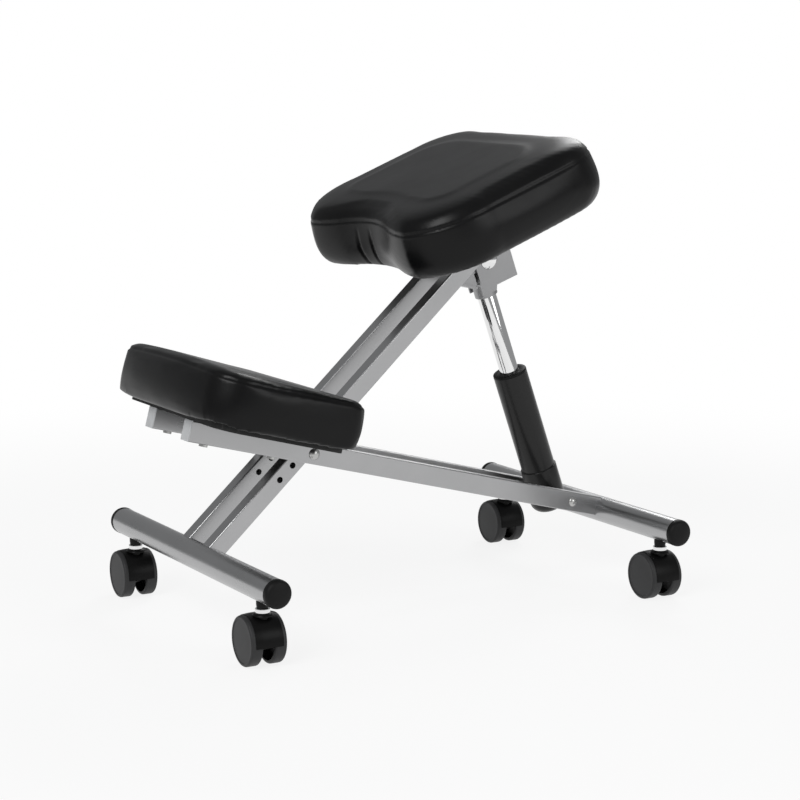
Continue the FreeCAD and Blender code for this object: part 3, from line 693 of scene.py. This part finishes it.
@dataclass(frozen=True)
class Mould:
    """How a pad is moulded from its CAD form, in millimetres of its own frame."""

    half: float
    front: float
    rear: float
    base: float
    crease: float
    new_half: float
    new_front: float
    new_rear: float
    new_base: float
    front_pull: float = 0.0
    rear_pull: float = 0.0
    front_lift: float = 0.0
    rear_lift: float = 0.0
    front_bulge: float = 0.0
    shoulder: float = 8.0

    def plan(self, x: float, y: float) -> Point:
        """Moulds a point of the plan: new sides and ends, and corners drawn in."""
        across = x / self.half
        along = (y - (self.front + self.rear) / 2) / ((self.rear - self.front) / 2)
        pull = self.front_pull if along < 0 else self.rear_pull
        drawn = 1.0 - pull * min(across * across, 1.0) * min(along * along, 1.0)
        middle = (self.new_front + self.new_rear) / 2
        reach = (self.new_rear - self.new_front) / 2
        return across * self.new_half * drawn, middle + along * reach * drawn

    def rise(self, x: float, y: float) -> float:
        """Gives how far the crease arches up at a moulded point of the plan, most at the front."""
        across = min(1.0, abs(x) / self.new_half)
        along = (self.new_front + self.new_rear - 2 * y) / (self.new_rear - self.new_front)
        return self.front_bulge * (1.0 - across * across) * max(0.0, min(1.0, along))

    def level(self, y: float, z: float) -> float:
        """Moulds a level: a new underside, the same crease and another crown."""
        if z <= self.crease:
            share = (z - self.base) / (self.crease - self.base)
            return self.new_base + share * (self.crease - self.new_base)
        share = max(0.0, min(1.0, (y - self.front) / (self.rear - self.front)))
        lift = self.front_lift + (self.rear_lift - self.front_lift) * share
        return z + lift * min(1.0, (z - self.crease) / self.shoulder)

    def point(self, spot: Vector) -> Vector:
        """Moulds a point of the pad."""
        x, y = self.plan(spot.x, spot.y)
        z = self.level(spot.y, spot.z)
        share = max(0.0, min(1.0, (z - self.new_base) / (self.crease - self.new_base)))
        return Vector((x, y, z + share * self.rise(x, y)))


KNEE_MOULD = Mould(half=195.0, front=-236.0, rear=-8.0, base=22.0, crease=82.0, new_half=178.0,
                   new_front=-225.0, new_rear=7.0, new_base=21.0, front_pull=0.12, rear_lift=-6.0,
                   front_bulge=7.0, shoulder=9.0)
KNEE_BOARD_MOULD = replace(KNEE_MOULD, new_half=170.0, new_front=-206.0, new_rear=-4.0)
SEAT_MOULD = Mould(half=194.0, front=-150.0, rear=163.0, base=446.0, crease=511.0, new_half=196.0,
                   new_front=-163.0, new_rear=162.0, new_base=440.5, rear_pull=0.045,
                   front_lift=4.0, rear_lift=6.5)


@dataclass
class Board:
    """A board under a pad, moulded with the pad's plan."""

    node: str
    name: str
    body: str
    place: Place
    paints: Paints
    mould: Mould

    def build(self) -> None:
        """Builds the board from its CAD form."""
        data = frame["nodes"][self.node].data.copy()
        board = bpy.data.objects.new(self.name, data)
        bpy.context.scene.collection.objects.link(board)
        Cushion.merge(board)
        matrix = self.place.matrix()
        inverse = matrix.inverted()
        for corner in data.vertices:
            spot = inverse @ (corner.co / MM)
            x, y = self.mould.plan(spot.x, spot.y)
            corner.co = (matrix @ Vector((x, y, spot.z))) * MM
        self.paints.cover(board, Slot.WOOD)
        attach(board, self.body)
        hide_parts(self.node)
        LOG.info("%s rides on %s", self.name, self.body)


@dataclass
class Cushion:
    """A stuffed pad that starts from its CAD form and swells under its cover."""

    node: str
    name: str
    body: str
    place: Place
    paints: Paints
    mould: Mould
    swell: float = 3.0
    voxel: float = 0.0045
    even_passes: int = 14
    pressure: float = 4.0
    frames: int = 20
    seam: float = 1.5
    seam_spread: float = 2.2
    underside: float = -0.3

    def build(self) -> None:
        """Builds the pad."""
        data = frame["nodes"][self.node].data.copy()
        data.name = self.name
        pad = bpy.data.objects.new(self.name, data)
        bpy.context.scene.collection.objects.link(pad)
        self.merge(pad)
        self._remould(pad)
        self._apply(pad, "REMESH", mode="VOXEL", voxel_size=self.voxel)
        self._inflate(pad)
        self._apply(pad, "SUBSURF", levels=1, render_levels=1)
        self._sew(pad)
        pad.data.shade_smooth()
        self.paints.cover(pad, Slot.COVER)
        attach(pad, self.body)
        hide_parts(self.node)
        LOG.info("%s rides on %s", self.name, self.body)

    @staticmethod
    def merge(pad: bpy.types.Object) -> None:
        """Joins the CAD copy's loose triangles into one shell."""
        shell = bmesh.new()
        shell.from_mesh(pad.data)
        bmesh.ops.remove_doubles(shell, verts=shell.verts, dist=LOOSE_WELD)
        bmesh.ops.recalc_face_normals(shell, faces=shell.faces)
        shell.to_mesh(pad.data)
        shell.free()

    @staticmethod
    def _apply(pad: bpy.types.Object, kind: str, **values: object) -> None:
        """Adds a modifier and makes its result the pad's own mesh."""
        modifier = pad.modifiers.new(kind.lower(), kind)
        for name, value in values.items():
            setattr(modifier, name, value)
        graph = bpy.context.evaluated_depsgraph_get()
        result = bpy.data.meshes.new_from_object(pad.evaluated_get(graph))
        pad.modifiers.clear()
        pad.data = result

    def _remould(self, pad: bpy.types.Object) -> None:
        """Moulds every corner of the CAD copy."""
        matrix = self.place.matrix()
        inverse = matrix.inverted()
        for corner in pad.data.vertices:
            corner.co = (matrix @ self.mould.point(inverse @ (corner.co / MM))) * MM

    def _inflate(self, pad: bpy.types.Object) -> None:
        """Lets cloth pressure round the pad, and keeps the even, outward part of the swelling."""
        start = [(corner.co.copy(), corner.normal.copy()) for corner in pad.data.vertices]
        cloth = pad.modifiers.new("cloth", "CLOTH")
        cloth.settings.use_pressure = True
        cloth.settings.uniform_pressure_force = self.pressure
        cloth.settings.effector_weights.gravity = 0.0
        cloth.settings.quality = 5
        cloth.collision_settings.use_collision = False
        cloth.point_cache.frame_start, cloth.point_cache.frame_end = 1, self.frames
        scene = bpy.context.scene
        for step in range(1, self.frames + 1):
            scene.frame_set(step)
        graph = bpy.context.evaluated_depsgraph_get()
        result = bpy.data.meshes.new_from_object(pad.evaluated_get(graph))
        pad.modifiers.clear()
        pad.data = result
        scene.frame_set(1)
        rises = [max(0.0, (corner.co - spot).dot(normal))
                 for corner, (spot, normal) in zip(result.vertices, start)]
        rises = self._evened(rises, [tuple(edge.vertices) for edge in result.edges])
        for corner, (spot, normal), rise in zip(result.vertices, start, rises):
            corner.co = spot + normal * min(rise, self.swell * MM)

    def _evened(self, numbers: list[float], edges: list[tuple[int, int]]) -> list[float]:
        """Evens out one number per corner along the mesh's edges.

        Args:
            numbers: The number at each corner.
            edges: The pairs of corners that are joined.

        Returns:
            The numbers after the passes.
        """
        for _ in range(self.even_passes):
            sums = list(numbers)
            counts = [1] * len(numbers)
            for one, other in edges:
                sums[one] += numbers[other]
                sums[other] += numbers[one]
                counts[one] += 1
                counts[other] += 1
            numbers = [total / count for total, count in zip(sums, counts)]
        return numbers

    def _sew(self, pad: bpy.types.Object) -> None:
        """Draws the seam between the top panel and the wall into the mesh."""
        inverse = self.place.matrix().inverted()
        turn = inverse.to_3x3()
        corners = [(corner.co.copy(), corner.normal.copy()) for corner in pad.data.vertices]
        for corner, (spot, normal) in zip(pad.data.vertices, corners):
            depth = self.seam_depth(inverse @ (spot / MM), turn @ normal)
            if depth:
                corner.co = spot - normal * depth * MM

    def seam_depth(self, spot: Vector, normal: Vector) -> float:
        """Gives how deep the cover is drawn in at a point, in millimetres."""
        if normal.z < self.underside:
            return 0.0
        level = self.mould.crease + self.mould.rise(spot.x, spot.y)
        return self.seam * math.exp(-((spot.z - level) / self.seam_spread) ** 2)


@dataclass
class SeatCushion(Cushion):
    """The seat pad, with two pleats at its front hollow."""

    pleats: Point = (-36.0, -8.0)
    pleat_depth: float = 2.0
    pleat_width: float = 2.4
    pleat_start: float = 8.0
    pleat_fade: float = 22.0
    front_wall: float = -90.0
    steep: float = 0.7

    def seam_depth(self, spot: Vector, normal: Vector) -> float:
        """Gives how deep the cover is drawn in at a point, in millimetres."""
        depth = super().seam_depth(spot, normal)
        if spot.y < self.front_wall and abs(normal.z) < self.steep:
            below = self.mould.crease - self.pleat_start - spot.z
            fade = max(0.0, min(1.0, below / self.pleat_fade))
            for x in self.pleats:
                near = (spot.x - x) / self.pleat_width
                depth += self.pleat_depth * fade * math.exp(-near * near)
        return depth


class Studio:
    """A plain pale floor, soft lamps and the camera."""

    FLOOR_HALF = 9.0
    FADE_START = 0.8
    FADE_END = 1.9
    NEAR_GLOW = 0.85
    LAMPS = (
        ("key", (1.6, -2.6, 2.6), (0.0, 0.0, 0.35), 1.8, 60.0),
        ("fill", (3.2, 1.2, 1.6), (0.0, 0.0, 0.3), 2.0, 26.0),
        ("back", (-2.2, 2.4, 2.4), (0.0, 0.0, 0.4), 1.6, 40.0),
    )
    ROOM_COLOUR = (0.82, 0.83, 0.84, 1.0)
    ROOM_STRENGTH = 0.38
    WHITE = (1.0, 1.0, 1.0, 1.0)
    LENS = 92.27
    SENSOR = 36.0
    CAMERA_SPOT = (2.50264, -1.50638, 0.79452)
    CAMERA_TILT = 80.28
    CAMERA_TURN = 58.88

    def build(self) -> None:
        """Builds the floor, the lamps, the world and the camera."""
        self._floor()
        self._lamps()
        self._world()
        self._camera()
        bpy.context.scene.view_settings.view_transform = "Standard"

    def _floor(self) -> None:
        """Lays a pale floor that keeps the shadow."""
        shape = bmesh.new()
        bmesh.ops.create_grid(shape, x_segments=1, y_segments=1, size=self.FLOOR_HALF)
        data = bpy.data.meshes.new("floor")
        shape.to_mesh(data)
        shape.free()
        floor = bpy.data.objects.new("floor", data)
        bpy.context.scene.collection.objects.link(floor)
        data.materials.append(self._floor_finish())

    def _floor_finish(self) -> bpy.types.Material:
        """Draws the floor's finish: matt, with a glow that grows to white away from the chair."""
        made = bpy.data.materials.new("pale_floor")
        made.use_nodes = True
        sheet = NodeSheet(made.node_tree)
        sheet.tree.nodes.clear()
        matt = sheet.add("BsdfDiffuse", Color=(0.9, 0.9, 0.9, 1.0))
        glow = sheet.add("Emission", Color=self.WHITE, Strength=1.0)
        path = sheet.add("LightPath")
        seen = sheet.add("Math", operation="MAXIMUM")
        share = sheet.add("Math", operation="MULTIPLY")
        spot = sheet.add("TexCoord")
        away = sheet.add("VectorMath", operation="LENGTH")
        fade = sheet.add("MapRange", interpolation_type="SMOOTHSTEP", From_Min=self.FADE_START,
                         From_Max=self.FADE_END, To_Min=self.NEAR_GLOW, To_Max=1.0)
        mix = sheet.add("MixShader")
        out = sheet.add("OutputMaterial")
        sheet.link(spot.outputs["Object"], away.inputs[0])
        sheet.link(away.outputs["Value"], fade.inputs["Value"])
        sheet.link(fade.outputs["Result"], share.inputs[1])
        sheet.link(path.outputs["Is Camera Ray"], seen.inputs[0])
        sheet.link(path.outputs["Is Glossy Ray"], seen.inputs[1])
        sheet.link(seen.outputs[0], share.inputs[0])
        sheet.link(share.outputs[0], mix.inputs["Fac"])
        sheet.link(matt.outputs[0], mix.inputs[1])
        sheet.link(glow.outputs[0], mix.inputs[2])
        sheet.link(mix.outputs[0], out.inputs["Surface"])
        return made

    def _lamps(self) -> None:
        """Hangs the soft lamps."""
        for name, spot, aim, size, power in self.LAMPS:
            data = bpy.data.lights.new(name, "AREA")
            data.shape, data.size, data.energy = "DISK", size, power
            lamp = bpy.data.objects.new(name, data)
            bpy.context.scene.collection.objects.link(lamp)
            lamp.location = spot
            toward = Vector(aim) - Vector(spot)
            lamp.rotation_euler = toward.to_track_quat("-Z", "Y").to_euler()

    def _world(self) -> None:
        """Sets a pale room that the camera sees as white."""
        world = bpy.data.worlds.new("studio")
        bpy.context.scene.world = world
        world.use_nodes = True
        sheet = NodeSheet(world.node_tree)
        sheet.tree.nodes.clear()
        room = sheet.add("Background", Color=self.ROOM_COLOUR, Strength=self.ROOM_STRENGTH)
        white = sheet.add("Background", Color=self.WHITE, Strength=1.0)
        path = sheet.add("LightPath")
        mix = sheet.add("MixShader")
        out = sheet.add("OutputWorld")
        sheet.link(path.outputs["Is Camera Ray"], mix.inputs["Fac"])
        sheet.link(room.outputs[0], mix.inputs[1])
        sheet.link(white.outputs[0], mix.inputs[2])
        sheet.link(mix.outputs[0], out.inputs["Surface"])

    def _camera(self) -> None:
        """Sets the camera at the photograph's angle."""
        data = bpy.data.cameras.new("camera")
        data.lens, data.sensor_width = self.LENS, self.SENSOR
        camera = bpy.data.objects.new("camera", data)
        bpy.context.scene.collection.objects.link(camera)
        camera.location = self.CAMERA_SPOT
        camera.rotation_euler = (math.radians(self.CAMERA_TILT), 0.0,
                                 math.radians(self.CAMERA_TURN))
        bpy.context.scene.camera = camera


def dress_nodes(paints: Paints) -> None:
    """Gives every CAD node the finish of its slot."""
    slots = {slot.value: slot for slot in Slot}
    for entry in frame["record"]["subparts"]:
        paints.cover(frame["nodes"][entry["node"]], slots[entry["material_slot"]])


def main() -> None:
    """Builds the chair's looks and the studio."""
    logging.basicConfig(level=logging.INFO)
    paints = Paints()
    dress_nodes(paints)
    FootRail("rear", "base", RAIL_Y, paints).build()
    FootRail("front", "strut_frame", -RAIL_Y, paints).build()
    GasLift(paints).build()
    beam, column = Place.BEAM.matrix(), Place.COLUMN.matrix()
    upper = column @ Matrix.Translation(UPPER_BOLT)
    DomedBolt("main_bolt", "main_pivot_bolt", "base", beam, paints, Slot.STEEL,
              reach=BOLT_REACH, radius=8.0, rise=5.5).build()
    DomedBolt("lift_bolt", "gas_lift_bolt", "base", column, paints, Slot.STEEL,
              reach=BOLT_REACH, radius=6.75, rise=4.5).build()
    DomedBolt("upper_bolt", "upper_pivot_bolt", "seat", upper, paints, Slot.CHROME,
              reach=20.0, radius=14.0, rise=8.0).build()
    for end, y in (("front", -RAIL_Y), ("rear", RAIL_Y)):
        for side, x in (("left", STEM_X), ("right", -STEM_X)):
            Caster(f"{end}_{side}", x, y, paints).build()
    Cushion("knee_cushion", "knee_pad", "base", Place.BEAM, paints, KNEE_MOULD).build()
    SeatCushion("seat_cushion", "seat_pad", "seat", Place.SEAT, paints, SEAT_MOULD).build()
    Board("knee_board", "knee_pad_board", "base", Place.BEAM, paints, KNEE_BOARD_MOULD).build()
    Board("seat_board", "seat_pad_board", "seat", Place.SEAT, paints, SEAT_MOULD).build()
    Studio().build()


if __name__ == "__main__":
    main()
